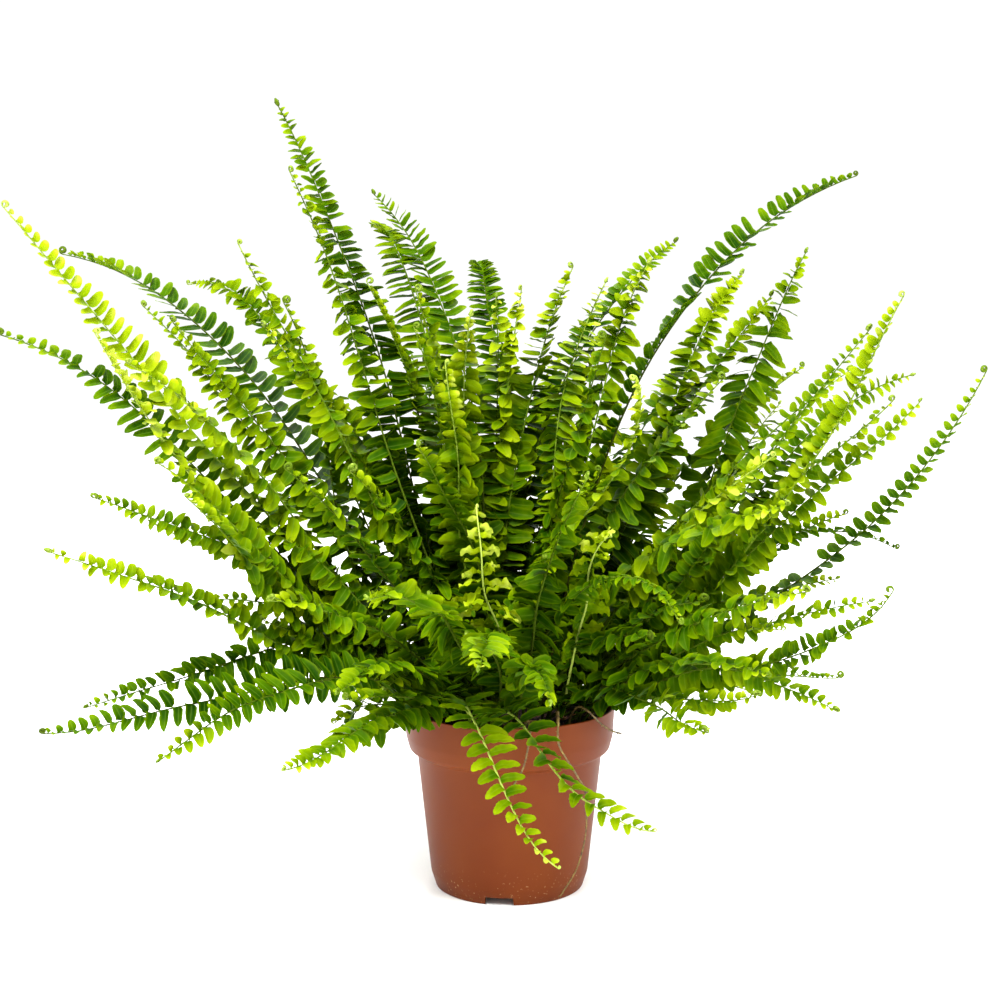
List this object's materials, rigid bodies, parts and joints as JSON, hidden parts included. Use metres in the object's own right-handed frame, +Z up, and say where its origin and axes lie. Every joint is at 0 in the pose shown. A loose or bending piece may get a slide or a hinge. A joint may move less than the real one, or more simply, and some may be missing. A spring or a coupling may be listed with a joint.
{
  "type": "potted sword fern",
  "caption": "Full sword fern with arching feathery fronds and wiry runners, rooted in dark soil in a thin round nursery pot with a collar and a notched foot.",
  "frame": {"origin": "middle of the pot's foot, on the surface that the pot stands on", "axes": "+Z up, +X to the right of the plant as the picture shows it, -Y towards the viewer"},
  "size_m": [0.5519, 0.4486, 0.4452],
  "materials": {
    "pot": "thin terracotta-coloured plastic, slightly glossy",
    "soil": "dark moist peat",
    "runner": "yellow-brown wiry stem with short hairs",
    "leaf": "soft glossy leaf, yellow-green to dark green"
  },
  "bodies": {
    "root": {"pot": "pot", "soil": "soil", "runner_front": "runner", "runner_side": "runner", "runner_short": "runner", "frond_left_01": "leaf", "frond_left_02": "leaf", "frond_left_03": "leaf", "frond_left_04": "leaf", "frond_left_05": "leaf", "frond_left_06": "leaf", "frond_left_07": "leaf", "frond_left_08": "leaf", "frond_left_09": "leaf", "frond_left_10": "leaf", "frond_left_11": "leaf", "frond_left_12": "leaf", "frond_left_13": "leaf", "frond_left_14": "leaf", "frond_left_15": "leaf", "frond_left_16": "leaf", "frond_back_01": "leaf", "frond_back_02": "leaf", "frond_upright_01": "leaf", "frond_upright_02": "leaf", "frond_upright_03": "leaf", "frond_right_01": "leaf", "frond_right_02": "leaf", "frond_right_03": "leaf", "frond_right_04": "leaf", "frond_right_05": "leaf", "frond_right_06": "leaf", "frond_right_07": "leaf", "frond_right_08": "leaf", "frond_right_09": "leaf", "frond_right_10": "leaf", "frond_right_11": "leaf", "frond_right_12": "leaf", "frond_right_13": "leaf", "frond_right_14": "leaf", "frond_right_15": "leaf", "frond_right_16": "leaf", "frond_front_01": "leaf", "frond_front_02": "leaf", "frond_front_03": "leaf", "frond_front_04": "leaf", "frond_front_05": "leaf", "frond_front_06": "leaf", "frond_front_07": "leaf", "frond_front_08": "leaf", "frond_front_09": "leaf", "tuft_back_01": "leaf", "tuft_back_02": "leaf", "tuft_back_03": "leaf", "tuft_back_04": "leaf", "tuft_back_05": "leaf", "tuft_inner_01": "leaf", "tuft_front_01": "leaf", "tuft_front_02": "leaf", "tuft_front_03": "leaf"}
  },
  "joints": []
}
